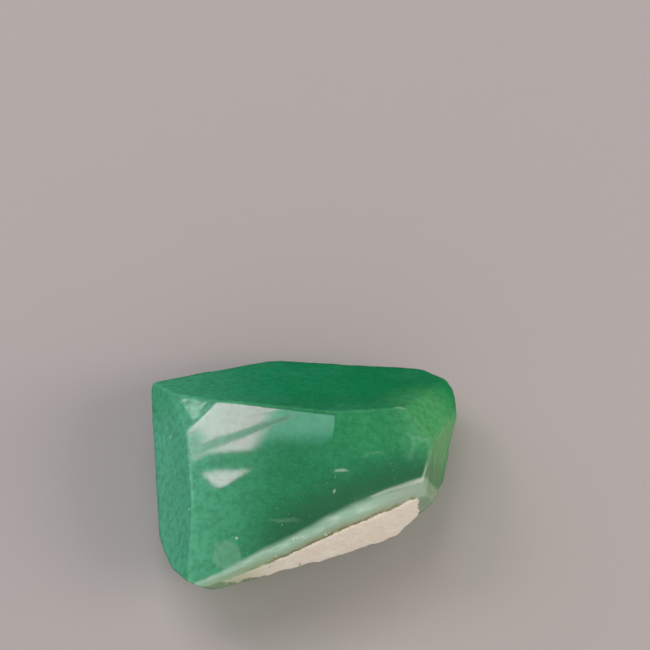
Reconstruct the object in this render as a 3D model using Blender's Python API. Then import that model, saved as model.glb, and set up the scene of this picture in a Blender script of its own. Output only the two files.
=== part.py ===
"""Raw jade stone: one broken piece of green jade with a chalky rind along its front edge.

Metres, +Z up. The stone lies on its flat underside at Z = 0, with the middle of its box at X = Y = 0.
Its long side runs along X and the rind looks to the front, -Y, and a little to the right.

The stone is star shaped: every point is found by looking out from one heart point. Each fracture face
is flat, bulging or hollow, and a ray from the heart ends at the nearest face that it meets. Small
scoops, the scars of flakes that came off, are bitten out of that form, and relief roughens it.
"""

import math
from typing import NamedTuple

import bpy
import numpy as np

MM = 0.001

# Driving dimensions, in millimetres and degrees
# The heart is the point inside the stone that its faces are measured from.
HEART_HEIGHT = 11.0
# This much of the underside lies below the surface that the stone rests on, and is ground flat.
BASE_TRIM = 0.25
SCAR_WEAR = 0.04
SHARP_EDGE = 35.0

# Lumps of the broken faces: their lengths, and each length's share of a face's relief
LUMP_LENGTHS = (8.0, 3.4)
LUMP_SHARES = (0.75, 0.45)
LUMP_PHASE = 0.9

# Grooves of the hollow right end: two trains of waves, how far they wander, and the radius that they bow with
STRIATION_SPACINGS = (1.7, 1.1)
STRIATION_DEPTHS = (0.07, 0.04)
STRIATION_WANDER = 0.25
STRIATION_CURVE = 30.0
STRIATION_PHASE = 2.3

# Crust of the rind: its height over the green, and its broken foot, which climbs to the left
CRUST_PROUD = 0.3
CRUST_FOOT = 7.2
CRUST_FOOT_RISE = 0.3
CRUST_RIGHT_END = 16.0
CRUST_STEP = 0.5
CRUST_PHASE = 1.7

# Fineness: steps of the sphere that is pushed out to the stone, and triangles that are kept
SPHERE_STEPS = 7
TRIANGLES = 7600

# A place belongs to its nearest face, and within about a hundredth of the radius to both.
SHARE_SHARPNESS = 100.0
# A ray this close to a face's own plane never meets it.
GRAZING = 1e-6

# How the waves of the relief are laid out
WAVES = 14
GOLDEN_TURN = math.pi * (3.0 - math.sqrt(5.0))
GOLDEN_STEP = 0.6180340
WAVELENGTH_SPREAD = 0.7

JADE_GREEN = (0.045, 0.205, 0.090, 1.0)
JADE_ROUGHNESS = 0.32
COLLECTION = "raw_jade_stone"
NODE = "jade_stone"


class Face(NamedTuple):
    """One fracture face. The faces are cut in turn, in the order of the list.

    azimuth: where it looks, from above: 0 front, 90 right, 180 back, 270 left
    tilt: how far it leans from facing straight up
    distance: from the heart to its nearest point
    bow: radius that it bulges with, hollow where negative, flat where 0
    wear: how far its edge with the faces cut before it is worn down
    relief: height of its lumps
    """

    name: str
    azimuth: float
    tilt: float
    distance: float
    bow: float
    wear: float
    relief: float


FACES = (
    Face("window_face", 278.0, 10.7, 11.8, 220.0, 0.04, 0.002),
    Face("right_face", 65.5, 10.0, 13.68, 170.0, 0.03, 0.012),
    Face("back_left", 184.5, 50.5, 10.7, 0.0, 0.05, 0.02),
    Face("back_right", 178.5, 49.5, 10.0, 0.0, 0.07, 0.02),
    Face("corner_chip", 243.5, 29.0, 14.8, 0.0, 0.03, 0.01),
    Face("front_slope", 330.8, 14.1, 12.68, 250.0, 0.05, 0.003),
    Face("left_band", 276.5, 60.5, 18.9, 0.0, 0.05, 0.02),
    Face("upper_right", 117.7, 42.4, 18.7, 200.0, 0.30, 0.04),
    Face("striated_end", 78.7, 75.5, 21.8, -60.0, 0.10, 0.05),
    Face("pale_bevel", 6.0, 34.0, 16.4, 0.0, 0.30, 0.03),
    Face("pale_bevel_end", 31.8, 45.0, 18.1, 0.0, 0.30, 0.03),
    Face("rind", 24.0, 88.5, 17.2, 150.0, 0.07, 0.10),
    Face("front_under", 15.0, 116.5, 15.6, 0.0, 0.10, 0.20),
    Face("front_right_under", 53.5, 110.5, 19.3, 0.0, 0.12, 0.20),
    Face("back_under_left", 207.0, 116.5, 19.1, 0.0, 0.30, 0.20),
    Face("back_under_right", 173.0, 104.5, 18.7, 0.0, 0.30, 0.20),
    Face("back_corner", 124.5, 101.5, 25.6, 0.0, 0.30, 0.18),
    Face("right_under", 82.0, 110.5, 21.5, 0.0, 0.30, 0.18),
    Face("left_under", 273.0, 116.5, 21.1, 0.0, 0.30, 0.15),
    Face("front_left", 309.0, 120.0, 23.1, 0.0, 0.30, 0.12),
    Face("front_corner", 335.5, 113.5, 23.0, 0.0, 0.20, 0.12),
    Face("base", 0.0, 180.0, HEART_HEIGHT + BASE_TRIM, 0.0, 0.10, 0.0),
)


class Scar(NamedTuple):
    """A scoop left by a flake: where it sits, seen from the heart, its ball's radius and its depth."""

    azimuth: float
    tilt: float
    radius: float
    depth: float


SCARS = (
    Scar(57.0, 99.0, 1.9, 0.5),
    Scar(66.0, 96.0, 1.6, 0.4),
    Scar(35.0, 120.0, 8.0, 0.7),
    Scar(92.0, 117.0, 9.0, 0.8),
    Scar(128.0, 118.0, 8.0, 0.8),
    Scar(168.0, 122.0, 7.0, 0.7),
    Scar(222.0, 112.0, 8.0, 0.8),
    Scar(262.0, 118.0, 9.0, 0.8),
    Scar(300.0, 120.0, 8.0, 0.7),
    Scar(340.0, 124.0, 7.0, 0.6),
)


def facing(azimuth, tilt):
    """Unit vectors that look along an azimuth and a tilt, in degrees."""
    turn = np.radians(azimuth)
    lean = np.radians(tilt)
    across = np.sin(lean)
    return np.stack((across * np.sin(turn), -across * np.cos(turn), np.cos(lean)), axis=-1)


def face_reach(rays, face):
    """Distance along each ray to a face: to its plane, or to its ball, centred on the face's own axis."""
    along = rays @ facing(face.azimuth, face.tilt)
    if face.bow == 0.0:
        return np.where(along > GRAZING, face.distance / np.maximum(along, GRAZING), np.inf)
    behind = face.bow - face.distance
    under_root = face.bow**2 - behind**2 * (1.0 - along**2)
    reach = -behind * along + math.copysign(1.0, face.bow) * np.sqrt(np.maximum(under_root, 0.0))
    return np.where((under_root > 0.0) & (reach > 0.0), reach, np.inf)


def worn_nearest(first, second, wear):
    """The nearer of two distances, less the wear where they are equal: a power mean with a high power."""
    near = np.minimum(first, second)
    power = math.log(2.0) * near / wear
    return near * (1.0 + (near / np.maximum(first, second)) ** power) ** (-1.0 / power)


def faces_radius(rays):
    """Distance from the heart to the faces along each ray, and each face's share of that place."""
    reaches = [face_reach(rays, face) for face in FACES]
    radius = reaches[0]
    for face, reach in zip(FACES[1:], reaches[1:]):
        radius = worn_nearest(radius, reach, face.wear)
    every = np.stack(reaches)
    shares = (every.min(axis=0) / every) ** SHARE_SHARPNESS
    return radius, shares / shares.sum(axis=0)


def scar_radius(rays, scar):
    """Distance along each ray to the scoop of one scar, infinite where the ray passes beside it."""
    toward = facing(scar.azimuth, scar.tilt)
    outside, _ = faces_radius(toward[None])
    ball = outside[0] + scar.radius - scar.depth
    along = rays @ toward
    under_root = scar.radius**2 - ball**2 * (1.0 - along**2)
    reach = ball * along - np.sqrt(np.maximum(under_root, 0.0))
    return np.where((under_root > 0.0) & (along > 0.0), reach, np.inf)


def swell(points, wavelength, phase):
    """Smooth lumps between about -1 and 1: the sum of sine waves whose directions follow a golden spiral."""
    count = np.arange(WAVES)
    height = 1.0 - 2.0 * (count + 0.5) / WAVES
    ring = np.sqrt(1.0 - height**2)
    turn = count * GOLDEN_TURN
    directions = np.stack((ring * np.cos(turn), ring * np.sin(turn), height))
    stretch = 1.0 + WAVELENGTH_SPREAD * ((count * GOLDEN_STEP) % 1.0 - 0.5)
    angle = points @ directions * (2.0 * math.pi / wavelength) * stretch + phase * (count + 1.0) ** 2
    return np.sin(angle).sum(axis=1) / math.sqrt(2.0 * WAVES)


def share_of(shares, name):
    """One named face's share of each place."""
    return shares[[face.name for face in FACES].index(name)]


def striations(points, shares):
    """Level grooves on the hollow right end, bowed like bowstrings: two trains of sines up its height."""
    bend = points[:, 1] ** 2 / (2.0 * STRIATION_CURVE)
    height = points[:, 2] + bend + STRIATION_WANDER * swell(points, LUMP_LENGTHS[0], STRIATION_PHASE)
    waves = sum(
        depth * np.sin(height * (2.0 * math.pi / spacing))
        for depth, spacing in zip(STRIATION_DEPTHS, STRIATION_SPACINGS)
    )
    return share_of(shares, "striated_end") * waves


def crust(points, shares):
    """The crust on the rind stands proud down to its broken foot, which rises to the left in steps."""
    wander = CRUST_STEP * swell(points, LUMP_LENGTHS[1], CRUST_PHASE)
    left_of_end = np.maximum(CRUST_RIGHT_END - points[:, 0], 0.0)
    foot = CRUST_FOOT - HEART_HEIGHT + CRUST_FOOT_RISE * left_of_end + wander
    above = np.clip((points[:, 2] - foot) / CRUST_STEP, 0.0, 1.0)
    return CRUST_PROUD * above * (share_of(shares, "rind") + share_of(shares, "front_under"))


def stone_points(rays):
    """Points of the surface about the heart: the nearest face, its relief, then the scars."""
    radius, shares = faces_radius(rays)
    points = rays * radius[:, None]
    relief = shares.T @ np.array([face.relief for face in FACES])
    lumps = sum(
        part * swell(points, length, LUMP_PHASE + length)
        for part, length in zip(LUMP_SHARES, LUMP_LENGTHS)
    )
    radius = radius + relief * lumps + striations(points, shares) + crust(points, shares)
    for scar in SCARS:
        radius = worn_nearest(radius, scar_radius(rays, scar), SCAR_WEAR)
    return rays * radius[:, None]


def jade_material():
    """Fresh broken jade: a green stone with a waxy gloss."""
    material = bpy.data.materials.new("jade")
    material.use_nodes = True
    shader = material.node_tree.nodes["Principled BSDF"]
    shader.inputs["Base Color"].default_value = JADE_GREEN
    shader.inputs["Roughness"].default_value = JADE_ROUGHNESS
    shader.inputs["Metallic"].default_value = 0.0
    return material


def coordinates(mesh):
    """The vertices of a mesh as an array."""
    flat = np.empty(len(mesh.vertices) * 3, dtype=np.float32)
    mesh.vertices.foreach_get("co", flat)
    return flat.reshape(-1, 3).astype(np.float64)


def set_coordinates(mesh, points):
    """Moves the vertices of a mesh to an array of points."""
    mesh.vertices.foreach_set("co", points.astype(np.float32).ravel())
    mesh.update()


def thinned(stone):
    """The mesh of an object after Decimate, which keeps small faces at the ridges and large ones between."""
    thin = stone.modifiers.new("thin", "DECIMATE")
    thin.ratio = TRIANGLES / len(stone.data.polygons)
    thin.use_collapse_triangulate = True
    seen = stone.evaluated_get(bpy.context.evaluated_depsgraph_get())
    mesh = bpy.data.meshes.new_from_object(seen)
    stone.modifiers.clear()
    return mesh


def make_stone(collection):
    """A fine sphere pushed out to the stone's surface, set flat on its base, thinned and centred."""
    bpy.ops.mesh.primitive_ico_sphere_add(subdivisions=SPHERE_STEPS, radius=1.0)
    stone = bpy.context.object
    rays = coordinates(stone.data)
    rays /= np.linalg.norm(rays, axis=1)[:, None]
    points = stone_points(rays) + (0.0, 0.0, HEART_HEIGHT)
    points[:, 2] = np.maximum(points[:, 2], 0.0)
    set_coordinates(stone.data, points * MM)
    full = stone.data
    stone.data = thinned(stone)
    bpy.data.meshes.remove(full)
    corners = coordinates(stone.data)
    middle = (corners.min(axis=0) + corners.max(axis=0)) / 2.0
    middle[2] = corners[:, 2].min()
    set_coordinates(stone.data, corners - middle)
    stone.name = NODE
    stone.data.name = NODE
    stone.data.shade_smooth()
    stone.data.set_sharp_from_angle(angle=math.radians(SHARP_EDGE))
    stone.data.materials.append(jade_material())
    for holder in stone.users_collection:
        holder.objects.unlink(stone)
    collection.objects.link(stone)


def main():
    for old in list(bpy.data.objects):
        bpy.data.objects.remove(old)
    collection = bpy.data.collections.new(COLLECTION)
    bpy.context.scene.collection.children.link(collection)
    make_stone(collection)


main()
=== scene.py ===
import math
from typing import NamedTuple

import bpy
import numpy as np
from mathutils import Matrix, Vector


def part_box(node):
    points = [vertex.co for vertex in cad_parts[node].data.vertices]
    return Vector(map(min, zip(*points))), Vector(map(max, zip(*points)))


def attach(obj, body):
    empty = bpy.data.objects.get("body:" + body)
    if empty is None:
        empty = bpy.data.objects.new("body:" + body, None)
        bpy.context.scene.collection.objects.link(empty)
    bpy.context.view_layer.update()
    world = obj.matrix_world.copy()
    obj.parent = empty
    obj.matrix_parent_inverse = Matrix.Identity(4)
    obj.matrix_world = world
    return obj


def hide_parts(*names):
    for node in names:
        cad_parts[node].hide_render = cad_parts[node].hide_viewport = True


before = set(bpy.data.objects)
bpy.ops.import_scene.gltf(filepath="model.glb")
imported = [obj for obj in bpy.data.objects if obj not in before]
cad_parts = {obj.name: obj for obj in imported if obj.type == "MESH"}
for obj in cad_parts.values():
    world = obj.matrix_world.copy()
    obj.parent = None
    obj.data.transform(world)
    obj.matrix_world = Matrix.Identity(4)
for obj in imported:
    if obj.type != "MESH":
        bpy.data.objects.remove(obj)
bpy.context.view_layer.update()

MM = 0.001

# The stone's driving dimensions, in millimetres and degrees, as its solid has them.
# The heart is the point inside the stone that its faces are measured from.
HEART_HEIGHT = 11.0
# This much of the underside lies below the surface that the stone rests on, and is ground flat.
BASE_TRIM = 0.25
SCAR_WEAR = 0.04

# Lumps of the broken faces: their lengths, and each length's share of a face's relief
LUMP_LENGTHS = (8.0, 3.4)
LUMP_SHARES = (0.75, 0.45)
LUMP_PHASE = 0.9

# Grooves of the hollow right end: two trains of waves, how far they wander, and the radius they bow with
STRIATION_SPACINGS = (1.7, 1.1)
STRIATION_DEPTHS = (0.07, 0.04)
STRIATION_WANDER = 0.25
STRIATION_CURVE = 30.0
STRIATION_PHASE = 2.3

# Crust of the rind: its height over the green, and its broken foot, which climbs to the left
CRUST_PROUD = 0.3
CRUST_FOOT = 7.2
CRUST_FOOT_RISE = 0.3
CRUST_RIGHT_END = 16.0
CRUST_STEP = 0.5
CRUST_PHASE = 1.7

# A place belongs to its nearest face, and within about a hundredth of the radius to both.
SHARE_SHARPNESS = 100.0
# A ray this close to a face's own plane never meets it.
GRAZING = 1e-6

# How the waves of the relief are laid out
WAVES = 14
GOLDEN_TURN = math.pi * (3.0 - math.sqrt(5.0))
GOLDEN_STEP = 0.6180340
WAVELENGTH_SPREAD = 0.7

# Fine forms that only this skin has, in millimetres. Hackles are low steps that fan out over the window
# face from one point, X and Y from the heart. They start this far to its left, and a slope is taken over
# this run at least. Each has its slope, width and lean.
FAN_POINT = (10.7, 4.9)
FAN_START = 8.0
FAN_LEAST_RUN = 1.0
HACKLES = (
    (0.085, 0.016, 0.008),
    (0.125, 0.016, -0.012),
    (0.165, 0.016, 0.014),
    (0.225, 0.016, 0.012),
    (0.300, 0.030, 0.006),
)
# Ripples spread over the back from where the blow fell: their centre, spacing, height and wander
RIPPLE_CENTRE = (-9.0, 4.0, 13.0)
RIPPLE_SPACING = 2.6
RIPPLE_HEIGHT = 0.012
RIPPLE_WANDER = 0.8
# Lumps of the chalk and of the rough under faces: size and height
CRUST_GRAINS = ((1.3, 0.05), (0.75, 0.03))
ROUGH_GRAINS = ((1.7, 0.045), (0.9, 0.025))
# The under faces are tilted by more than the first of these and less than the second, the flat base's
UNDER_TILTS = (100.0, 180.0)

# The box of rays that the skin is laid out on, about the heart, and its steps along X, Y and Z
RAY_BOX_LOW = np.array((-23.6, -23.0, -11.3))
RAY_BOX_HIGH = np.array((24.6, 18.6, 12.9))
RAY_STEPS = (160, 140, 80)

# The view: the middle of the picture looks at this point of the floor
VIEW_TARGET = (3.4, 29.0, 0.0)
VIEW_ELEVATION = 66.5
VIEW_DISTANCE = 400.0
CLIP_START = 10.0
LENS = 135.6

# Colours of the stone, from its body to its crust
GREEN_MIDDLE = "#2A925E"
# Paler green for the left side: painted light, a glow of light through the stone from that side
GREEN_LEFT_PAINTED_GLOW = "#76D4AB"
GREEN_BACK = "#13A063"
# Darker green for the back's right end: a painted shadow, as if cast by a stone lying behind it
GREEN_BACK_RIGHT_PAINTED_SHADOW = "#0F9658"
GREEN_RIGHT = "#34A061"
GREEN_YELLOW = "#64B872"
GREEN_CLOUD = "#5CBF92"
GREEN_DEEP = "#176F43"
GREEN_SHADE = "#266A43"
GREEN_FIBRE = "#8CA67F"
PALE_MINT = "#A2C9AE"
PALE_MILK = "#B4D4BC"
PALE_WHITE = "#D8E8DA"
PALE_OLIVE = "#9BB494"
PALE_LOBE = "#9DB29C"
SEAM_OLIVE = "#979F7A"
SEAM_BROWN = "#7C6C36"
CRUST_CREAM = "#ECE2CF"
CRUST_WHITE = "#F1EBDD"
CRUST_GREY = "#DAD0BD"
CRUST_GREEN = "#B8C09C"
# Pale of the marks, and of the ridges' painted glow
PALE_MARKS_AND_EDGE_GLOW = "#CFE8CF"

# Nephrite's refractive index, and how rough its break, its mist, its fibres and the chalk are
JADE_IOR = 1.61
JADE_ROUGHNESS = 0.045
MIST_ROUGHNESS = 0.36
FIBRE_ROUGHNESS = 0.42
CRUST_ROUGHNESS = 0.9

# How deep light enters the jade, in millimetres, and the shares of that for red, green and blue
LIGHT_DEPTH = 1.6
LIGHT_SHARES = (0.35, 1.0, 0.55)

# The chalk's grit is this high in millimetres, and the jade's unevenness is this share of that
GRIT_HEIGHT = 0.12
UNEVEN_SHARE = 0.008

# Where greens change over, as a map range's from and to, in millimetres along X or Y
PAINTED_SHADOW_RIGHTWARD = {1: -8.0, 2: 20.0}
BACKWARD = {1: 4.0, 2: 12.0}
PAINTED_GLOW_LEFTWARD = {1: -1.0, 2: -26.0}

# Soft patches of other greens, in millimetres: centre, radii, softness, strength
YELLOW_PATCH = ((23.0, 6.0, 19.5), (14.0, 13.0, 13.0), 0.85, 0.95)
BRIGHT_PATCH = ((10.0, 2.5, 23.0), (9.0, 6.5, 6.0), 0.9, 0.75)

# Patterns all through the stone, as a noise's inputs. The scale is its cells for each millimetre.
CLOUDS = {"Scale": 0.13, "Detail": 3.0, "Roughness": 0.55}
MOTTLE = {"Scale": 1.0, "Detail": 3.0, "Roughness": 0.6}
FINE_MOTTLE = {"Scale": 2.6, "Detail": 2.0, "Roughness": 0.6}
PALE_WAVES = {"Scale": 0.22, "Detail": 2.0}
PALE_STREAKS = {"Scale": 1.5, "Detail": 3.0, "Roughness": 0.6}
SEAM_PATCHES = {"Scale": 0.8, "Detail": 2.0}
CRUST_JAGS = {"Scale": 0.9, "Detail": 4.0, "Roughness": 0.65}
CRUST_BLOTCHES = {"Scale": 0.5, "Detail": 4.0, "Roughness": 0.6}
CRUST_FLECKS = {"Scale": 2.2, "Detail": 2.0}
CRUST_GRIT = {"Scale": 3.2, "Detail": 3.0, "Roughness": 0.7}
MARK_WARP = {"Scale": 0.7, "Detail": 2.0}
MIST_BEND = {"Scale": 0.3, "Detail": 2.0}
UNEVENNESS = {"Scale": 1.1, "Detail": 2.0}

# The pale layer under the rind, in millimetres: its depth, how it thins along the rind, and its least.
# Its waves are this high, and its streaks are stretched along the rind by this share.
PALE_DEPTH = 2.2
PALE_TAPER = 0.0025
PALE_LEAST = 0.9
PALE_WAVE_HEIGHT = 0.6
PALE_STREAK_STRETCH = 0.25

# The crust's inner edge lies this deep in millimetres, less its jags, and less again at its left end.
# Its right end has jags of its own.
CRUST_EDGE = 0.28
CRUST_JAG_HEIGHT = 0.6
CRUST_EDGE_LESS = 0.08
CRUST_END_JAG = 1.6

# Where looks change over along the rind, as a map range's inputs, in millimetres to the heart's right
SHADE_ALONG = {1: -19.0, 2: -6.0, 3: 0.1}
LOBE_ALONG = {1: 2.0, 2: 12.0, 4: 0.85}
CRUST_THIN_ALONG = {1: -9.0, 2: -19.0, 4: 0.9}
CRUST_END_ALONG = {1: 14.2, 2: 13.9}

# Pale spots in the jade, in millimetres from the heart: centre, radii, softness, strength
SPOTS = (
    ((6.3, -7.1, 11.9), (1.5, 0.4, 0.6), 0.7, 0.6),
    ((3.3, -6.8, 12.3), (0.5, 0.3, 0.5), 0.6, 0.6),
    ((5.4, -10.2, 11.2), (0.3, 0.5, 0.5), 0.6, 0.6),
    ((-2.1, -14.1, 9.3), (3.4, 0.45, 0.8), 0.9, 0.14),
    ((-19.8, 1.3, 3.9), (0.28, 0.28, 0.28), 0.6, 0.8),
    ((-16.6, -11.6, 7.1), (0.3, 0.3, 0.4), 0.6, 0.8),
    ((-9.25, -16.35, 7.6), (0.3, 0.3, 0.3), 0.6, 0.8),
    ((-1.6, 11.7, 2.5), (0.25, 0.25, 0.25), 0.6, 0.5),
    ((14.1, -3.3, 10.6), (0.3, 0.3, 0.3), 0.6, 0.6),
    ((-10.67, -18.72, 6.69), (2.6, 2.6, 2.6), 0.4, 0.13),
    ((-0.78, -16.77, 8.47), (0.3, 0.3, 0.3), 0.6, 0.8),
    ((-0.12, -16.59, 8.55), (0.2, 0.3, 0.3), 0.6, 0.8),
    ((0.62, -16.39, 8.65), (0.25, 0.3, 0.3), 0.6, 0.7),
    ((4.05, -16.02, 8.71), (0.35, 0.3, 0.3), 0.6, 0.7),
    ((4.65, -15.75, 8.83), (0.2, 0.3, 0.3), 0.6, 0.6),
    ((-3.26, -18.91, 7.28), (0.2, 0.2, 0.3), 0.6, 0.6),
    ((15.3, 3.4, 10.8), (1.2, 0.35, 0.6), 0.7, 0.35),
)

# Fine pale lines, where a ball's skin cuts the surface, in millimetres from the heart: the ball's centre,
# radius and width, the middle and radii of the part that is kept, strength
ARCS = (
    ((-10.67, -18.72, 6.69), 1.7, 0.9, (-10.67, -18.72, 6.69), (6.0, 6.0, 6.0), 0.16),
    ((11.5, -6.8, 10.9), 2.8, 0.45, (10.8, -4.3, 11.3), (2.6, 1.6, 2.0), 0.10),
    ((18.4, 2.1, 9.9), 3.4, 0.6, (18.2, -1.6, 9.8), (3.6, 2.2, 2.5), 0.12),
    ((12.0, -2.0, 9.5), 5.3, 0.7, (17.0, -2.8, 9.9), (1.5, 3.0, 2.0), 0.09),
)

# Specks all through the stone: cells for each millimetre, speck radius, strength
SPECKS = (
    (0.36, 0.16, 0.4),
    (0.95, 0.12, 0.22),
)

# Bands of the window face where fine hackles leave a mist: first and last slope, softness, strength
MISTS = (
    (0.098, 0.114, 0.010, 0.35),
    (0.150, 0.164, 0.010, 0.35),
    (0.250, 0.318, 0.020, 0.85),
)
MIST_WANDER = 0.03
# The mist comes in over this range, in millimetres to the left of the fan's point
MIST_ALONG = {1: 8.0, 2: 15.0}
# The mist at the face's left end, in millimetres from the heart: centre, radii, softness, strength
END_MIST = ((-16.8, -1.2, 8.9), (4.2, 4.4, 3.5), 0.9, 1.0)

# The sky: its strength, its low ring, its top, its dim side and what mirrors see below the horizon. The
# top comes in with a direction's height, and the dim side with how far the direction leans that way.
SKY_STRENGTH = 1.08
SKY_TOP_RANGE = {1: 0.55, 2: 0.88}
SKY_DIM_RANGE = {1: -0.35, 2: 0.0, 4: 0.9}
SKY_LOW = "#E2E1E4"
SKY_HIGH = "#8B8F92"
SKY_DIM = "#72787C"
SKY_DIM_SIDE = (-0.45, 0.89, 0.0)
BELOW = "#20463A"

# Softboxes that look at a point above the middle of the floor: direction, distance, width, height,
# radiance, colour, and whether the stone mirrors them. The far window shows in the corner chip.
AIM_HEIGHT = 20.0
SOFTBOXES = {
    "overhead_softbox": ((-0.10, 0.35, 0.93), 700.0, 300.0, 300.0, 3.2, "#FFFFFF", False),
    "left_softbox": ((-0.72, 0.35, 0.62), 700.0, 520.0, 380.0, 1.1, "#E2EBFF", True),
    "right_softbox": ((0.80, -0.22, 0.52), 700.0, 440.0, 380.0, 3.2, "#FFEEDF", True),
    "far_window": ((-0.676, 0.673, 0.301), 715.0, 13.0, 3.0, 7.0, "#F4FFF8", True),
}

# The near window is one light whose colour is masked into panes. Each side of a pane is a direction across
# the light, how far along it the pane ends, and how soft that end is, in millimetres.
WINDOW_DISTANCE = 700.0
WINDOW_WIDTH = 400.0
WINDOW_HEIGHT = 340.0
WINDOW_DIRECTION = (-0.338, 0.391, 0.855)
WINDOW_BRIGHT = "#FFD9EC"
WINDOW_HAZE = "#7BA79E"
WINDOW_DIM = "#4A7470"
WINDOW_BAR = "#000000"
WINDOW_RADIANCE = 7.6
UPPER_PANE = (((0.725, 0.689), 87.0, 1.5), ((-0.95, -0.31), 0.0, 6.0))
CLEAR_PART = (((-0.247, 1.076), 3.0, 12.0),)
DIM_PART = (((-0.725, -0.689), -68.0, 16.0),)
LIT_PART = (((0.725, 0.689), 78.0, 16.0),)
LOWER_PANE = (((-0.725, -0.689), -115.0, 1.0), ((1.0, 0.0), 165.5, 1.5), ((0.0, 1.0), 42.0, 8.0))

# The floor: its paint, the radii of its pinhole, first ring and rim in metres, and its rings and spokes
FLOOR_PAINT = "#BEB7B2"
FLOOR_ROUGHNESS = 0.9
FLOOR_PINHOLE = 0.001
FLOOR_INNER = 0.02
FLOOR_OUTER = 60.0
FLOOR_RINGS = 30
FLOOR_SPOKES = 96


class Face(NamedTuple):
    """A fracture face: the azimuth and the tilt that it looks along, its distance, bow, wear and relief."""

    name: str
    azimuth: float
    tilt: float
    distance: float
    bow: float
    wear: float
    relief: float


FACES = (
    Face("window_face", 278.0, 10.7, 11.8, 220.0, 0.04, 0.002),
    Face("right_face", 65.5, 10.0, 13.68, 170.0, 0.03, 0.012),
    Face("back_left", 184.5, 50.5, 10.7, 0.0, 0.05, 0.02),
    Face("back_right", 178.5, 49.5, 10.0, 0.0, 0.07, 0.02),
    Face("corner_chip", 243.5, 29.0, 14.8, 0.0, 0.03, 0.01),
    Face("front_slope", 330.8, 14.1, 12.68, 250.0, 0.05, 0.003),
    Face("left_band", 276.5, 60.5, 18.9, 0.0, 0.05, 0.02),
    Face("upper_right", 117.7, 42.4, 18.7, 200.0, 0.30, 0.04),
    Face("striated_end", 78.7, 75.5, 21.8, -60.0, 0.10, 0.05),
    Face("pale_bevel", 6.0, 34.0, 16.4, 0.0, 0.30, 0.03),
    Face("pale_bevel_end", 31.8, 45.0, 18.1, 0.0, 0.30, 0.03),
    Face("rind", 24.0, 88.5, 17.2, 150.0, 0.07, 0.10),
    Face("front_under", 15.0, 116.5, 15.6, 0.0, 0.10, 0.20),
    Face("front_right_under", 53.5, 110.5, 19.3, 0.0, 0.12, 0.20),
    Face("back_under_left", 207.0, 116.5, 19.1, 0.0, 0.30, 0.20),
    Face("back_under_right", 173.0, 104.5, 18.7, 0.0, 0.30, 0.20),
    Face("back_corner", 124.5, 101.5, 25.6, 0.0, 0.30, 0.18),
    Face("right_under", 82.0, 110.5, 21.5, 0.0, 0.30, 0.18),
    Face("left_under", 273.0, 116.5, 21.1, 0.0, 0.30, 0.15),
    Face("front_left", 309.0, 120.0, 23.1, 0.0, 0.30, 0.12),
    Face("front_corner", 335.5, 113.5, 23.0, 0.0, 0.20, 0.12),
    Face("base", 0.0, 180.0, HEART_HEIGHT + BASE_TRIM, 0.0, 0.10, 0.0),
)

RIND = next(face for face in FACES if face.name == "rind")


class Scar(NamedTuple):
    """A scoop left by a flake: where it sits, seen from the heart, its ball's radius and its depth."""

    azimuth: float
    tilt: float
    radius: float
    depth: float


SCARS = (
    Scar(57.0, 99.0, 1.9, 0.5),
    Scar(66.0, 96.0, 1.6, 0.4),
    Scar(35.0, 120.0, 8.0, 0.7),
    Scar(92.0, 117.0, 9.0, 0.8),
    Scar(128.0, 118.0, 8.0, 0.8),
    Scar(168.0, 122.0, 7.0, 0.7),
    Scar(222.0, 112.0, 8.0, 0.8),
    Scar(262.0, 118.0, 9.0, 0.8),
    Scar(300.0, 120.0, 8.0, 0.7),
    Scar(340.0, 124.0, 7.0, 0.6),
)


def facing(azimuth, tilt):
    """Unit vectors that look along an azimuth and a tilt, in degrees."""
    turn = np.radians(azimuth)
    lean = np.radians(tilt)
    across = np.sin(lean)
    return np.stack((across * np.sin(turn), -across * np.cos(turn), np.cos(lean)), axis=-1)


def face_reach(rays, face):
    """Distance along each ray to a face: to its plane, or to its ball, centred on the face's own axis."""
    along = rays @ facing(face.azimuth, face.tilt)
    if face.bow == 0.0:
        return np.where(along > GRAZING, face.distance / np.maximum(along, GRAZING), np.inf)
    behind = face.bow - face.distance
    under_root = face.bow**2 - behind**2 * (1.0 - along**2)
    reach = -behind * along + math.copysign(1.0, face.bow) * np.sqrt(np.maximum(under_root, 0.0))
    return np.where((under_root > 0.0) & (reach > 0.0), reach, np.inf)


def worn_nearest(first, second, wear):
    """The nearer of two distances, less the wear where they are equal: a power mean with a high power."""
    near = np.minimum(first, second)
    power = math.log(2.0) * near / wear
    return near * (1.0 + (near / np.maximum(first, second)) ** power) ** (-1.0 / power)


def faces_radius(rays):
    """Distance from the heart to the faces along each ray, and each face's share of that place."""
    reaches = [face_reach(rays, face) for face in FACES]
    radius = reaches[0]
    for face, reach in zip(FACES[1:], reaches[1:]):
        radius = worn_nearest(radius, reach, face.wear)
    every = np.stack(reaches)
    shares = (every.min(axis=0) / every) ** SHARE_SHARPNESS
    return radius, shares / shares.sum(axis=0)


def scar_radius(rays, scar):
    """Distance along each ray to the scoop of one scar, infinite where the ray passes beside it."""
    toward = facing(scar.azimuth, scar.tilt)
    outside, _ = faces_radius(toward[None])
    ball = outside[0] + scar.radius - scar.depth
    along = rays @ toward
    under_root = scar.radius**2 - ball**2 * (1.0 - along**2)
    reach = ball * along - np.sqrt(np.maximum(under_root, 0.0))
    return np.where((under_root > 0.0) & (along > 0.0), reach, np.inf)


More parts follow.
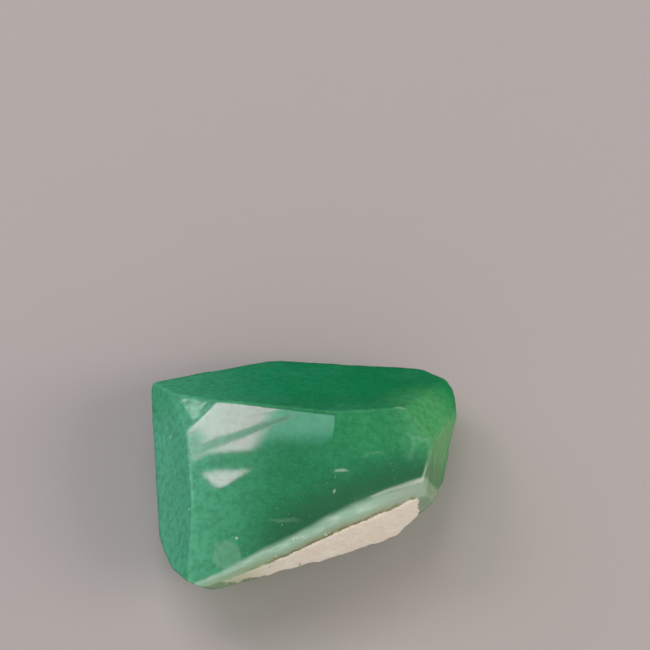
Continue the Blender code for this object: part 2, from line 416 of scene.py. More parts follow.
def swell(points, wavelength, phase):
    """Smooth lumps between about -1 and 1: the sum of sine waves whose directions follow a golden spiral."""
    count = np.arange(WAVES)
    height = 1.0 - 2.0 * (count + 0.5) / WAVES
    ring = np.sqrt(1.0 - height**2)
    turn = count * GOLDEN_TURN
    directions = np.stack((ring * np.cos(turn), ring * np.sin(turn), height))
    stretch = 1.0 + WAVELENGTH_SPREAD * ((count * GOLDEN_STEP) % 1.0 - 0.5)
    angle = points @ directions * (2.0 * math.pi / wavelength) * stretch + phase * (count + 1.0) ** 2
    return np.sin(angle).sum(axis=1) / math.sqrt(2.0 * WAVES)


def share_of(shares, name):
    """One named face's share of each place."""
    return shares[[face.name for face in FACES].index(name)]


def striations(points, shares):
    """Level grooves on the hollow right end, bowed like bowstrings: two trains of sines up its height."""
    bend = points[:, 1] ** 2 / (2.0 * STRIATION_CURVE)
    height = points[:, 2] + bend + STRIATION_WANDER * swell(points, LUMP_LENGTHS[0], STRIATION_PHASE)
    waves = sum(
        depth * np.sin(height * (2.0 * math.pi / spacing))
        for depth, spacing in zip(STRIATION_DEPTHS, STRIATION_SPACINGS)
    )
    return share_of(shares, "striated_end") * waves


def crust(points, shares):
    """The crust on the rind stands proud down to its broken foot, a wavering line that climbs to the left."""
    wander = CRUST_STEP * swell(points, LUMP_LENGTHS[1], CRUST_PHASE)
    left_of_end = np.maximum(CRUST_RIGHT_END - points[:, 0], 0.0)
    foot = CRUST_FOOT - HEART_HEIGHT + CRUST_FOOT_RISE * left_of_end + wander
    above = np.clip((points[:, 2] - foot) / CRUST_STEP, 0.0, 1.0)
    return CRUST_PROUD * above * (share_of(shares, "rind") + share_of(shares, "front_under"))


def stone_radius(rays):
    """Distance from the heart to the surface along each ray, and the faces' shares."""
    radius, shares = faces_radius(rays)
    points = rays * radius[:, None]
    relief = shares.T @ np.array([face.relief for face in FACES])
    lumps = sum(
        part * swell(points, length, LUMP_PHASE + length)
        for part, length in zip(LUMP_SHARES, LUMP_LENGTHS)
    )
    radius = radius + relief * lumps + striations(points, shares) + crust(points, shares)
    for scar in SCARS:
        radius = worn_nearest(radius, scar_radius(rays, scar), SCAR_WEAR)
    return radius, shares


def hackles(points, shares):
    """Low steps on the window face: hyperbolic tangents over the slope seen from the fan's point, which
    grow with the distance from it and fade out near it."""
    back = FAN_POINT[0] - points[:, 0]
    down = FAN_POINT[1] - points[:, 1]
    slope = down / np.maximum(back, FAN_LEAST_RUN)
    height = sum(lean * width * (1.0 + np.tanh((angle - slope) / width)) for angle, width, lean in HACKLES)
    fade = np.clip(back / FAN_START - 1.0, 0.0, 1.0)
    return share_of(shares, "window_face") * height * back * fade


def ripples(points, shares):
    """Low ripples on the two back faces: a sine over the distance from where the blow fell, made uneven."""
    away = np.linalg.norm(points - RIPPLE_CENTRE, axis=1)
    away += RIPPLE_WANDER * swell(points, LUMP_LENGTHS[0], CRUST_PHASE)
    backs = share_of(shares, "back_left") + share_of(shares, "back_right")
    return backs * RIPPLE_HEIGHT * np.sin(away * (2.0 * math.pi / RIPPLE_SPACING))


def grains(points, shares):
    """Fine lumps of chalk on the rind, and of the rough under faces: two sizes of swell each."""
    chalk = sum(height * swell(points, size, CRUST_PHASE + size) for size, height in CRUST_GRAINS)
    rough = sum(height * swell(points, size, LUMP_PHASE + size) for size, height in ROUGH_GRAINS)
    least, most = UNDER_TILTS
    under = sum(share_of(shares, face.name) for face in FACES if least < face.tilt < most)
    return share_of(shares, "rind") * chalk + under * rough


def fine_radius(rays):
    """The solid's surface with the fine forms that only this skin has, and the faces' shares."""
    radius, shares = stone_radius(rays)
    points = rays * radius[:, None]
    return radius + hackles(points, shares) + ripples(points, shares) + grains(points, shares), shares


def box_shell(steps):
    """A closed box as six grids of two parameters each: points from 0 to 1, and quads that face outwards.
    Neighbouring grids share their border points, so the shell has no seams."""
    lattices = []
    quads = []
    start = 0
    for axis in range(3):
        first = (axis + 1) % 3
        second = (axis + 2) % 3
        for side in (0, 1):
            across, up = np.meshgrid(
                np.arange(steps[first] + 1), np.arange(steps[second] + 1), indexing="ij"
            )
            lattice = np.empty((across.size, 3), dtype=int)
            lattice[:, axis] = side * steps[axis]
            lattice[:, first] = across.ravel()
            lattice[:, second] = up.ravel()
            number = start + np.arange(across.size).reshape(across.shape)
            corners = [number[:-1, :-1], number[1:, :-1], number[1:, 1:], number[:-1, 1:]]
            if side == 0:
                corners.reverse()
            quads.append(np.stack([corner.ravel() for corner in corners], axis=1))
            lattices.append(lattice)
            start += across.size
    points, index = np.unique(np.concatenate(lattices), axis=0, return_inverse=True)
    return points / np.array(steps), index.ravel()[np.concatenate(quads)]


def ridge_lift(shares):
    """How sharply faces meet at each place: 1 less the squared length of their normals' mean, by share."""
    normals = np.stack([facing(face.azimuth, face.tilt) for face in FACES])
    return 1.0 - ((shares.T @ normals) ** 2).sum(axis=1)


def new_mesh(name, points, quads):
    """A mesh object of quads from whole arrays, shaded smooth and linked to the scene."""
    mesh = bpy.data.meshes.new(name)
    mesh.from_pydata(points.tolist(), [], quads.tolist())
    mesh.shade_smooth()
    made = bpy.data.objects.new(name, mesh)
    bpy.context.scene.collection.objects.link(made)
    return made


def paint(made, name, values):
    """Stores one number for each vertex as a named attribute."""
    attribute = made.data.attributes.new(name, "FLOAT", "POINT")
    attribute.data.foreach_set("value", values.astype(np.float32))


def make_stone():
    """The stone's skin: a box of rays from the heart, each as long as the stone is deep there, and moved
    so that its middle is the solid's. It gives back the stone and where its heart is, in millimetres."""
    spread, quads = box_shell(RAY_STEPS)
    rays = RAY_BOX_LOW + (RAY_BOX_HIGH - RAY_BOX_LOW) * spread
    rays /= np.linalg.norm(rays, axis=1)[:, None]
    radius, shares = fine_radius(rays)
    points = rays * radius[:, None] + (0.0, 0.0, HEART_HEIGHT)
    points[:, 2] = np.maximum(points[:, 2], 0.0)
    cad_low, cad_high = (np.array(corner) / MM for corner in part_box("jade_stone"))
    move = (cad_low + cad_high - points.min(axis=0) - points.max(axis=0)) / 2.0
    move[2] = 0.0
    stone = new_mesh("raw_jade_stone", (points + move) * MM, quads)
    paint(stone, "ridge", ridge_lift(shares))
    for name in ("striated_end", "window_face"):
        paint(stone, name, share_of(shares, name))
    return stone, Vector(move + (0.0, 0.0, HEART_HEIGHT))


def linear(hex_colour):
    """An sRGB hex colour as linear red, green, blue and alpha."""
    parts = [int(hex_colour[i : i + 2], 16) / 255.0 for i in (1, 3, 5)]
    return [c / 12.92 if c <= 0.04045 else ((c + 0.055) / 1.055) ** 2.4 for c in parts] + [1.0]


def add(tree, kind, inputs=(), out=None, **settings):
    """Adds a node with its own settings, and with values or links at its inputs, by name or number.
    It gives back the output that is asked for, or else the first one that the settings leave in use."""
    made = tree.nodes.new(kind)
    for name, value in settings.items():
        setattr(made, name, value)
    for socket, value in dict(inputs).items():
        if isinstance(value, bpy.types.NodeSocket):
            tree.links.new(value, made.inputs[socket])
        else:
            made.inputs[socket].default_value = value
    return made.outputs[out] if out else next(output for output in made.outputs if output.enabled)


# Settings that many nodes share. A map range's inputs 0 to 4 are the value, the ends of its range, and
# the results there, which are 0 and 1 unless they are given. A colour mix has its share at 0 and its
# colours at 6 and 7, and a mix of numbers has them at 2 and 3.
SOFT = {"interpolation_type": "SMOOTHSTEP"}
RGBA = {"data_type": "RGBA"}


def spot(tree, place, centre, radii, soft, strength):
    """A mask of an ellipsoid in millimetres, soft over the given part of its radius."""
    away = add(tree, "ShaderNodeVectorMath", {0: place, 1: centre}, operation="SUBTRACT")
    scaled = add(tree, "ShaderNodeVectorMath", {0: away, 1: radii}, operation="DIVIDE")
    reach = add(tree, "ShaderNodeVectorMath", {0: scaled}, operation="LENGTH")
    return add(tree, "ShaderNodeMapRange", {0: reach, 1: 1.0, 2: 1.0 - soft, 4: strength}, **SOFT)


def arc(tree, place, centre, radius, width, strength):
    """A mask of a ball's thin shell: where it cuts the surface, it draws a circle or part of one."""
    reach = add(tree, "ShaderNodeVectorMath", {0: place, 1: centre}, operation="DISTANCE")
    off = add(tree, "ShaderNodeMath", {0: reach, 1: radius}, operation="SUBTRACT")
    off = add(tree, "ShaderNodeMath", {0: off}, operation="ABSOLUTE")
    return add(tree, "ShaderNodeMapRange", {0: off, 1: width, 2: 0.0, 4: strength}, **SOFT)


def body_green(tree, place):
    """The stone's inside, by place: paler and bluer to the left, which is painted light, a glow of light
    through the stone from that side; deeper at the back, with a painted shadow darkening its right end;
    yellow-green at the upper right, with soft clouds about 8 mm across and mottling of about 1 and 0.4 mm."""
    x = add(tree, "ShaderNodeSeparateXYZ", {0: place}, out="X")
    y = add(tree, "ShaderNodeSeparateXYZ", {0: place}, out="Y")
    # The back grows darker to the right: a painted shadow, as if cast by a stone lying behind it
    right = add(tree, "ShaderNodeMapRange", {0: x, **PAINTED_SHADOW_RIGHTWARD}, **SOFT)
    back = add(tree, "ShaderNodeMix", {0: right, 6: linear(GREEN_BACK), 7: linear(GREEN_BACK_RIGHT_PAINTED_SHADOW)}, **RGBA)
    backward = add(tree, "ShaderNodeMapRange", {0: y, **BACKWARD}, **SOFT)
    green = add(tree, "ShaderNodeMix", {0: backward, 6: linear(GREEN_MIDDLE), 7: back}, **RGBA)
    # Paler and bluer to the left, less so at the back: painted light, a glow of light through the stone
    left = add(tree, "ShaderNodeMapRange", {0: x, **PAINTED_GLOW_LEFTWARD}, **SOFT)
    fewer = add(tree, "ShaderNodeMath", {0: backward, 1: -0.4, 2: 1.0}, operation="MULTIPLY_ADD")
    left = add(tree, "ShaderNodeMath", {0: left, 1: fewer}, operation="MULTIPLY")
    green = add(tree, "ShaderNodeMix", {0: left, 6: green, 7: linear(GREEN_LEFT_PAINTED_GLOW)}, **RGBA)
    yellow = spot(tree, place, *YELLOW_PATCH)
    green = add(tree, "ShaderNodeMix", {0: yellow, 6: green, 7: linear(GREEN_YELLOW)}, **RGBA)
    bright = spot(tree, place, *BRIGHT_PATCH)
    green = add(tree, "ShaderNodeMix", {0: bright, 6: green, 7: linear(GREEN_RIGHT)}, **RGBA)
    cloud = add(tree, "ShaderNodeTexNoise", {0: place, **CLOUDS})
    clouds = add(tree, "ShaderNodeMapRange", {0: cloud, 1: 0.42, 2: 0.68, 4: 0.2}, **SOFT)
    green = add(tree, "ShaderNodeMix", {0: clouds, 6: green, 7: linear(GREEN_CLOUD)}, **RGBA)
    mottle = add(tree, "ShaderNodeTexNoise", {0: place, **MOTTLE})
    deeper = add(tree, "ShaderNodeMapRange", {0: mottle, 1: 0.6, 2: 0.36, 4: 0.3}, **SOFT)
    green = add(tree, "ShaderNodeMix", {0: deeper, 6: green, 7: linear(GREEN_DEEP)}, **RGBA)
    grain = add(tree, "ShaderNodeTexNoise", {0: place, **FINE_MOTTLE})
    grainy = add(tree, "ShaderNodeMapRange", {0: grain, 1: 0.48, 2: 0.7, 4: 0.18}, **SOFT)
    return add(tree, "ShaderNodeMix", {0: grainy, 6: green, 7: linear(GREEN_CLOUD)}, **RGBA)


def rind_place(tree, place, heart):
    """Where a point lies by the rind, in millimetres: its depth under the rind's ball, and how far right."""
    normal = Vector(facing(RIND.azimuth, RIND.tilt))
    ball = heart - normal * (RIND.bow - RIND.distance)
    reach = add(tree, "ShaderNodeVectorMath", {0: place, 1: ball}, operation="DISTANCE")
    depth = add(tree, "ShaderNodeMath", {0: RIND.bow, 1: reach}, operation="SUBTRACT")
    along = Vector(facing(RIND.azimuth + 90.0, 90.0))
    right = add(tree, "ShaderNodeVectorMath", {0: place, 1: along}, operation="DOT_PRODUCT")
    return depth, add(tree, "ShaderNodeMath", {0: right, 1: along.dot(heart)}, operation="SUBTRACT")


def pale_layer(tree, place, green, depth, right):
    """The pale layer under the rind, over the green. It thins towards both ends of the rind, the jade
    above it is darkest, and it turns from mint to olive towards the rind, streaked along it."""
    squared = add(tree, "ShaderNodeMath", {0: right, 1: right}, operation="MULTIPLY")
    limit = add(tree, "ShaderNodeMath", {0: squared, 1: -PALE_TAPER, 2: PALE_DEPTH}, operation="MULTIPLY_ADD")
    limit = add(tree, "ShaderNodeMath", {0: limit, 1: PALE_LEAST}, operation="MAXIMUM")
    wave = add(tree, "ShaderNodeTexNoise", {0: place, **PALE_WAVES})
    wavy = add(tree, "ShaderNodeMath", {0: wave, 1: PALE_WAVE_HEIGHT, 2: depth}, operation="MULTIPLY_ADD")
    wavy = add(tree, "ShaderNodeMath", {0: wavy, 1: PALE_WAVE_HEIGHT / 2.0}, operation="SUBTRACT")
    layer = add(tree, "ShaderNodeMath", {0: wavy, 1: limit}, operation="DIVIDE")

    shade = add(tree, "ShaderNodeMapRange", {0: layer, 1: 4.2, 2: 1.3, 4: 0.8}, **SOFT)
    inward = add(tree, "ShaderNodeMapRange", {0: right, **SHADE_ALONG}, **SOFT)
    shade = add(tree, "ShaderNodeMath", {0: shade, 1: inward}, operation="MULTIPLY")
    green = add(tree, "ShaderNodeMix", {0: shade, 6: green, 7: linear(GREEN_SHADE)}, **RGBA)

    # The widest streaks run about 2.7 mm along the rind and 0.7 mm across the layer, with finer ones in them
    lengthwise = add(tree, "ShaderNodeMath", {0: right, 1: PALE_STREAK_STRETCH}, operation="MULTIPLY")
    flow = add(tree, "ShaderNodeCombineXYZ", {0: lengthwise, 1: depth})
    streak = add(tree, "ShaderNodeTexNoise", {0: flow, **PALE_STREAKS}, noise_dimensions="2D")
    milky = add(tree, "ShaderNodeMapRange", {0: streak, 1: 0.35, 2: 0.6}, **SOFT)
    pale = add(tree, "ShaderNodeMix", {0: milky, 6: linear(PALE_MINT), 7: linear(PALE_MILK)}, **RGBA)
    white = add(tree, "ShaderNodeMapRange", {0: streak, 1: 0.58, 2: 0.72, 4: 0.5}, **SOFT)
    pale = add(tree, "ShaderNodeMix", {0: white, 6: pale, 7: linear(PALE_WHITE)}, **RGBA)
    olive = add(tree, "ShaderNodeMapRange", {0: layer, 1: 0.6, 2: 0.25}, **SOFT)
    pale = add(tree, "ShaderNodeMix", {0: olive, 6: pale, 7: linear(PALE_OLIVE)}, **RGBA)
    rusty = add(tree, "ShaderNodeMapRange", {0: layer, 1: 0.28, 2: 0.05}, **SOFT)
    rusty = add(tree, "ShaderNodeMath", {0: rusty, 1: inward}, operation="MULTIPLY")
    pale = add(tree, "ShaderNodeMix", {0: rusty, 6: pale, 7: linear(SEAM_OLIVE)}, **RGBA)
    lobe = add(tree, "ShaderNodeMapRange", {0: right, **LOBE_ALONG}, **SOFT)
    pale = add(tree, "ShaderNodeMix", {0: lobe, 6: pale, 7: linear(PALE_LOBE)}, **RGBA)
    band = add(tree, "ShaderNodeMapRange", {0: layer, 1: 1.22, 2: 0.74}, **SOFT)
    return add(tree, "ShaderNodeMix", {0: band, 6: green, 7: pale}, **RGBA)


def chalky_rind(tree, place, colour, depth, right):
    """The crust over the pale layer, and its mask: chalk with a jagged rusty edge, rounded at its right end
    and thin and greenish at its left end."""
    jag = add(tree, "ShaderNodeTexNoise", {0: place, **CRUST_JAGS})
    jagged = add(tree, "ShaderNodeMath", {0: jag, 1: CRUST_JAG_HEIGHT, 2: depth}, operation="MULTIPLY_ADD")
    thin = add(tree, "ShaderNodeMapRange", {0: right, **CRUST_THIN_ALONG}, **SOFT)
    edge = {0: thin, 1: -CRUST_EDGE_LESS, 2: CRUST_EDGE}
    edge = add(tree, "ShaderNodeMath", edge, operation="MULTIPLY_ADD")
    jagged = add(tree, "ShaderNodeMath", {0: jagged, 1: edge}, operation="SUBTRACT")
    upward = add(tree, "ShaderNodeMapRange", {0: depth, 1: -0.8, 2: 0.1, 4: 1.2}, **SOFT)
    end = add(tree, "ShaderNodeMath", {0: jag, 1: CRUST_END_JAG, 2: right}, operation="MULTIPLY_ADD")
    end = add(tree, "ShaderNodeMath", {0: end, 1: upward}, operation="ADD")
    within = add(tree, "ShaderNodeMapRange", {0: end, **CRUST_END_ALONG}, **SOFT)

    patch = add(tree, "ShaderNodeTexNoise", {0: place, **SEAM_PATCHES})
    patches = add(tree, "ShaderNodeMapRange", {0: patch, 1: 0.32, 2: 0.54, 4: 0.9}, **SOFT)
    seam = add(tree, "ShaderNodeMapRange", {0: jagged, 1: 0.5, 2: 0.02}, **SOFT)
    seam = add(tree, "ShaderNodeMath", {0: seam, 1: patches}, operation="MULTIPLY")
    seam = add(tree, "ShaderNodeMath", {0: seam, 1: within}, operation="MULTIPLY")
    rusty = add(tree, "ShaderNodeMath", {0: thin, 1: -1.0, 2: 1.0}, operation="MULTIPLY_ADD")
    seam = add(tree, "ShaderNodeMath", {0: seam, 1: rusty}, operation="MULTIPLY")
    colour = add(tree, "ShaderNodeMix", {0: seam, 6: colour, 7: linear(SEAM_BROWN)}, **RGBA)

    crusted = add(tree, "ShaderNodeMapRange", {0: jagged, 1: 0.06, 2: -0.06}, **SOFT)
    crusted = add(tree, "ShaderNodeMath", {0: crusted, 1: within}, operation="MULTIPLY")
    blotch = add(tree, "ShaderNodeTexNoise", {0: place, **CRUST_BLOTCHES})
    blotches = add(tree, "ShaderNodeMapRange", {0: blotch, 1: 0.4, 2: 0.7}, **SOFT)
    chalk = add(tree, "ShaderNodeMix", {0: blotches, 6: linear(CRUST_CREAM), 7: linear(CRUST_WHITE)}, **RGBA)
    fleck = add(tree, "ShaderNodeTexNoise", {0: place, **CRUST_FLECKS})
    flecks = add(tree, "ShaderNodeMapRange", {0: fleck, 1: 0.6, 2: 0.3, 4: 0.3}, **SOFT)
    chalk = add(tree, "ShaderNodeMix", {0: flecks, 6: chalk, 7: linear(CRUST_GREY)}, **RGBA)
    chalk = add(tree, "ShaderNodeMix", {0: thin, 6: chalk, 7: linear(CRUST_GREEN)}, **RGBA)
    return add(tree, "ShaderNodeMix", {0: crusted, 6: colour, 7: chalk}, **RGBA), crusted


def pale_marks(tree, place, heart):
    """A mask of the pale marks in the jade: fresh chips, faint healed cracks, a bruise, and fine specks that
    are faintest in the window face. A noise warps the places of the chips and cracks."""
    warp = add(tree, "ShaderNodeTexNoise", {0: place, **MARK_WARP}, out="Color")
    warp = add(tree, "ShaderNodeVectorMath", {0: warp, 1: (0.5, 0.5, 0.5)}, operation="SUBTRACT")
    warped = add(
        tree, "ShaderNodeVectorMath", {0: warp, 1: (0.9, 0.9, 0.9), 2: place}, operation="MULTIPLY_ADD"
    )
    marks = []
    for centre, radii, soft, strength in SPOTS:
        marks.append(spot(tree, warped, heart + Vector(centre), radii, soft, strength))
    for centre, radius, width, middle, radii, strength in ARCS:
        line = arc(tree, warped, heart + Vector(centre), radius, width, strength)
        kept = spot(tree, place, heart + Vector(middle), radii, 0.6, 1.0)
        marks.append(add(tree, "ShaderNodeMath", {0: line, 1: kept}, operation="MULTIPLY"))
    window = add(tree, "ShaderNodeAttribute", attribute_name="window_face", out="Fac")
    others = add(tree, "ShaderNodeMath", {0: window, 1: -0.8, 2: 1.0}, operation="MULTIPLY_ADD")
    for scale, size, strength in SPECKS:
        near = add(tree, "ShaderNodeTexVoronoi", {0: place, "Scale": scale}, out="Distance")
        reach = {0: near, 1: size * scale, 2: 0.4 * size * scale, 4: strength}
        specks = add(tree, "ShaderNodeMapRange", reach, **SOFT)
        marks.append(add(tree, "ShaderNodeMath", {0: specks, 1: others}, operation="MULTIPLY"))
    total = marks[0]
    for mark in marks[1:]:
        total = add(tree, "ShaderNodeMath", {0: total, 1: mark}, operation="MAXIMUM")
    return total


def hackle_mist(tree, place, heart):
    """A mask of the window face's mist: bands of slopes seen from the fan's point, wavered by a noise, and
    the face's left end."""
    x = add(tree, "ShaderNodeSeparateXYZ", {0: place}, out="X")
    y = add(tree, "ShaderNodeSeparateXYZ", {0: place}, out="Y")
    back = add(tree, "ShaderNodeMath", {0: heart[0] + FAN_POINT[0], 1: x}, operation="SUBTRACT")
    back = add(tree, "ShaderNodeMath", {0: back, 1: FAN_LEAST_RUN}, operation="MAXIMUM")
    down = add(tree, "ShaderNodeMath", {0: heart[1] + FAN_POINT[1], 1: y}, operation="SUBTRACT")
    slope = add(tree, "ShaderNodeMath", {0: down, 1: back}, operation="DIVIDE")
    bend = add(tree, "ShaderNodeTexNoise", {0: place, **MIST_BEND})
    slope = add(tree, "ShaderNodeMath", {0: bend, 1: MIST_WANDER, 2: slope}, operation="MULTIPLY_ADD")
    slope = add(tree, "ShaderNodeMath", {0: slope, 1: MIST_WANDER / 2.0}, operation="SUBTRACT")
    total = 0.0
    for first, last, soft, strength in MISTS:
        begun = add(tree, "ShaderNodeMapRange", {0: slope, 1: first - soft, 2: first + soft}, **SOFT)
        going = {0: slope, 1: last + soft, 2: last - soft, 4: strength}
        going = add(tree, "ShaderNodeMapRange", going, **SOFT)
        band = add(tree, "ShaderNodeMath", {0: begun, 1: going}, operation="MULTIPLY")
        total = add(tree, "ShaderNodeMath", {0: total, 1: band}, operation="MAXIMUM")
    centre, *extent = END_MIST
    end = spot(tree, place, heart + Vector(centre), *extent)
    total = add(tree, "ShaderNodeMath", {0: total, 1: end}, operation="MAXIMUM")
    leftward = add(tree, "ShaderNodeMapRange", {0: back, **MIST_ALONG}, **SOFT)
    total = add(tree, "ShaderNodeMath", {0: total, 1: leftward}, operation="MULTIPLY")
    window = add(tree, "ShaderNodeAttribute", attribute_name="window_face", out="Fac")
    return add(tree, "ShaderNodeMath", {0: total, 1: window}, operation="MULTIPLY")


def jade_material(heart):
    """Nephrite, broken and left as it broke: a waxy green that light enters a little way, a pale mint layer
    under the weathered side, a rusty seam, and a dry chalky rind that scatters all its light."""
    material = bpy.data.materials.new("broken_nephrite_with_chalky_rind")
    material.use_nodes = True
    tree = material.node_tree
    shader = tree.nodes["Principled BSDF"]
    metres = add(tree, "ShaderNodeTexCoord", out="Object")
    place = add(tree, "ShaderNodeVectorMath", {0: metres, "Scale": 1.0 / MM}, operation="SCALE")
    depth, right = rind_place(tree, place, heart)
    colour = pale_layer(tree, place, body_green(tree, place), depth, right)
    colour, crusted = chalky_rind(tree, place, colour, depth, right)
    bare = add(tree, "ShaderNodeMath", {0: 1.0, 1: crusted}, operation="SUBTRACT")

    marks = add(tree, "ShaderNodeMath", {0: pale_marks(tree, place, heart), 1: bare}, operation="MULTIPLY")
    colour = add(tree, "ShaderNodeMix", {0: marks, 6: colour, 7: linear(PALE_MARKS_AND_EDGE_GLOW)}, **RGBA)
    # Ridges are paled a little: partly chipped wear, partly a painted glow of light through the thin edges
    ridge = add(tree, "ShaderNodeAttribute", attribute_name="ridge", out="Fac")
    wear_and_edge_glow = add(tree, "ShaderNodeMapRange", {0: ridge, 1: 0.03, 2: 0.25, 4: 0.04}, **SOFT)
    wear_and_edge_glow = add(tree, "ShaderNodeMath", {0: wear_and_edge_glow, 1: bare}, operation="MULTIPLY")
    colour = add(tree, "ShaderNodeMix", {0: wear_and_edge_glow, 6: colour, 7: linear(PALE_MARKS_AND_EDGE_GLOW)}, **RGBA)
    striated = add(tree, "ShaderNodeAttribute", attribute_name="striated_end", out="Fac")
    fibres = add(tree, "ShaderNodeMath", {0: striated, 1: bare}, operation="MULTIPLY")
    fibred = add(tree, "ShaderNodeMath", {0: fibres, 1: 0.5}, operation="MULTIPLY")
    colour = add(tree, "ShaderNodeMix", {0: fibred, 6: colour, 7: linear(GREEN_FIBRE)}, **RGBA)
    tree.links.new(colour, shader.inputs["Base Color"])

    mist = hackle_mist(tree, place, heart)
    rough = add(tree, "ShaderNodeMix", {0: mist, 2: JADE_ROUGHNESS, 3: MIST_ROUGHNESS}, data_type="FLOAT")
    rough = add(tree, "ShaderNodeMix", {0: fibres, 2: rough, 3: FIBRE_ROUGHNESS}, data_type="FLOAT")
    rough = add(tree, "ShaderNodeMix", {0: crusted, 2: rough, 3: CRUST_ROUGHNESS}, data_type="FLOAT")
    tree.links.new(rough, shader.inputs["Roughness"])
    lit = add(tree, "ShaderNodeMath", {0: crusted, 1: -0.9, 2: 1.0}, operation="MULTIPLY_ADD")
    tree.links.new(lit, shader.inputs["Subsurface Weight"])
    shader.inputs["IOR"].default_value = JADE_IOR
    shader.inputs["Subsurface Radius"].default_value = LIGHT_SHARES
    shader.inputs["Subsurface Scale"].default_value = LIGHT_DEPTH * MM

    # Chalk grit about 0.3 mm across, and on the jade only the faint unevenness that ruffles a reflection
    grit = add(tree, "ShaderNodeTexNoise", {0: place, **CRUST_GRIT})
    uneven = add(tree, "ShaderNodeTexNoise", {0: place, **UNEVENNESS})
    uneven = add(tree, "ShaderNodeMath", {0: uneven, 1: UNEVEN_SHARE}, operation="MULTIPLY")
    height = add(tree, "ShaderNodeMix", {0: crusted, 2: uneven, 3: grit}, data_type="FLOAT")
    relief = {"Height": height, "Strength": 1.0, "Distance": GRIT_HEIGHT * MM}
    bump = add(tree, "ShaderNodeBump", relief)
    tree.links.new(bump, shader.inputs["Normal"])
    return material


def make_floor():
    """A plain pale floor: a wide disc of rings and spokes, its radii growing by a constant ratio, and open
    only for a pinhole under the stone."""
    rings = np.concatenate(([FLOOR_PINHOLE], np.geomspace(FLOOR_INNER, FLOOR_OUTER, FLOOR_RINGS)))
    turns = np.linspace(0.0, 2.0 * math.pi, FLOOR_SPOKES, endpoint=False)
    points = np.stack(
        (np.outer(rings, np.cos(turns)), np.outer(rings, np.sin(turns)), np.zeros((rings.size, turns.size))),
        axis=-1,
    ).reshape(-1, 3)
    number = np.arange(points.shape[0]).reshape(rings.size, turns.size)
    after = np.roll(number, -1, axis=1)
    quads = np.stack((number[:-1], number[1:], after[1:], after[:-1]), axis=-1).reshape(-1, 4)
    floor = new_mesh("floor", points, quads)
    material = bpy.data.materials.new("matt_floor_paint")
    material.use_nodes = True
    shader = material.node_tree.nodes["Principled BSDF"]
    shader.inputs["Base Color"].default_value = linear(FLOOR_PAINT)
    shader.inputs["Roughness"].default_value = FLOOR_ROUGHNESS
    floor.data.materials.append(material)
    floor.visible_glossy = False


def make_camera():
    """The camera looks down at the stone from the front, at the photo's angle."""
    data = bpy.data.cameras.new("camera")
    data.lens = LENS
    camera = bpy.data.objects.new("camera", data)
    bpy.context.scene.collection.objects.link(camera)
    lean = math.radians(VIEW_ELEVATION)
    back = Vector((0.0, -math.cos(lean), math.sin(lean)))
    camera.location = (Vector(VIEW_TARGET) + back * VIEW_DISTANCE) * MM
    camera.rotation_euler = (math.radians(90.0 - VIEW_ELEVATION), 0.0, 0.0)
    data.clip_start = CLIP_START * MM
    bpy.context.scene.camera = camera


def softbox(name, direction, distance, width, height, radiance, colour):
    """A rectangular light that looks at the stone from a direction, its width level, in millimetres. Its
    power is the radiance by pi and its area."""
    data = bpy.data.lights.new(name, "AREA")
    data.shape = "RECTANGLE"
    data.size = width * MM
    data.size_y = height * MM
    data.color = linear(colour)[:3]
    data.energy = radiance * math.pi * width * height * MM * MM
    light = bpy.data.objects.new(name, data)
    bpy.context.scene.collection.objects.link(light)
    away = Vector(direction).normalized()
    light.location = Vector((0.0, 0.0, AIM_HEIGHT * MM)) + away * distance * MM
    light.rotation_euler = away.to_track_quat("Z", "Y").to_euler()
    return light


def pane(tree, place, sides):
    """A mask of a straight-sided pane on the window light: the product of its sides' soft steps."""
    mask = 1.0
    for across, end, soft in sides:
        away = add(tree, "ShaderNodeVectorMath", {0: place, 1: (*across, 0.0)}, operation="DOT_PRODUCT")
        inside = add(tree, "ShaderNodeMapRange", {0: away, 1: end + soft, 2: end - soft}, **SOFT)
        mask = add(tree, "ShaderNodeMath", {0: mask, 1: inside}, operation="MULTIPLY")
    return mask


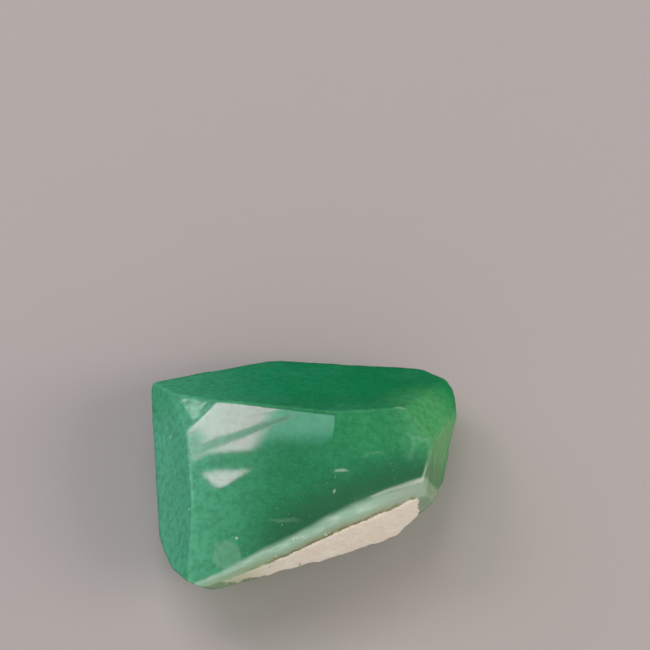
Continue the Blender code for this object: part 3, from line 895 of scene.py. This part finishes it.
def light_window():
    """A bright window that the stone mirrors: an upper pane that grows dim to one side, a dark bar, and the
    corner of a lower pane."""
    window = softbox("window", WINDOW_DIRECTION, WINDOW_DISTANCE, WINDOW_WIDTH, WINDOW_HEIGHT, 1.0, "#FFFFFF")
    window.data.use_nodes = True
    tree = window.data.node_tree
    metres = add(tree, "ShaderNodeTexCoord", out="Object")
    place = add(tree, "ShaderNodeVectorMath", {0: metres, "Scale": 1.0 / MM}, operation="SCALE")
    masks = (UPPER_PANE, CLEAR_PART, DIM_PART, LIT_PART, LOWER_PANE)
    upper, clear, dimmer, lit, lower = (pane(tree, place, sides) for sides in masks)
    dim = add(tree, "ShaderNodeMix", {0: dimmer, 6: linear(WINDOW_HAZE), 7: linear(WINDOW_DIM)}, **RGBA)
    dim = add(tree, "ShaderNodeMix", {0: lit, 6: linear(WINDOW_BAR), 7: dim}, **RGBA)
    glow = add(tree, "ShaderNodeMix", {0: clear, 6: dim, 7: linear(WINDOW_BRIGHT)}, **RGBA)
    glow = add(tree, "ShaderNodeMix", {0: upper, 6: linear(WINDOW_BAR), 7: glow}, **RGBA)
    glow = add(tree, "ShaderNodeMix", {0: lower, 6: glow, 7: linear(WINDOW_BRIGHT)}, **RGBA)
    emission = tree.nodes["Emission"]
    tree.links.new(glow, emission.inputs["Color"])
    emission.inputs["Strength"].default_value = WINDOW_RADIANCE


def light_sky():
    """Soft light from all round: a bright low ring, dimmer overhead and at the back left, and dark green
    below the horizon, which only the stone's mirroring sides see."""
    world = bpy.data.worlds.new("studio")
    bpy.context.scene.world = world
    world.use_nodes = True
    tree = world.node_tree
    direction = add(tree, "ShaderNodeTexCoord", out="Object")
    height = add(tree, "ShaderNodeSeparateXYZ", {0: direction}, out="Z")
    overhead = add(tree, "ShaderNodeMapRange", {0: height, **SKY_TOP_RANGE}, **SOFT)
    sky = add(tree, "ShaderNodeMix", {0: overhead, 6: linear(SKY_LOW), 7: linear(SKY_HIGH)}, **RGBA)
    toward = add(tree, "ShaderNodeVectorMath", {0: direction, 1: SKY_DIM_SIDE}, operation="DOT_PRODUCT")
    dimmed = add(tree, "ShaderNodeMapRange", {0: toward, **SKY_DIM_RANGE}, **SOFT)
    sky = add(tree, "ShaderNodeMix", {0: dimmed, 6: sky, 7: linear(SKY_DIM)}, **RGBA)
    above = add(tree, "ShaderNodeMapRange", {0: height, 1: -0.02, 2: 0.02}, **SOFT)
    sky = add(tree, "ShaderNodeMix", {0: above, 6: linear(BELOW), 7: sky}, **RGBA)
    background = tree.nodes["Background"]
    tree.links.new(sky, background.inputs["Color"])
    background.inputs["Strength"].default_value = SKY_STRENGTH


def light_studio():
    """The sky, the softboxes and the near window. No film curve changes the colours."""
    light_sky()
    for name, (*form, mirrored) in SOFTBOXES.items():
        softbox(name, *form).visible_glossy = mirrored
    light_window()
    bpy.context.scene.view_settings.view_transform = "Standard"


stone, heart = make_stone()
stone.data.materials.append(jade_material(heart))
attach(stone, "root")
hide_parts("jade_stone")
make_floor()
make_camera()
light_studio()
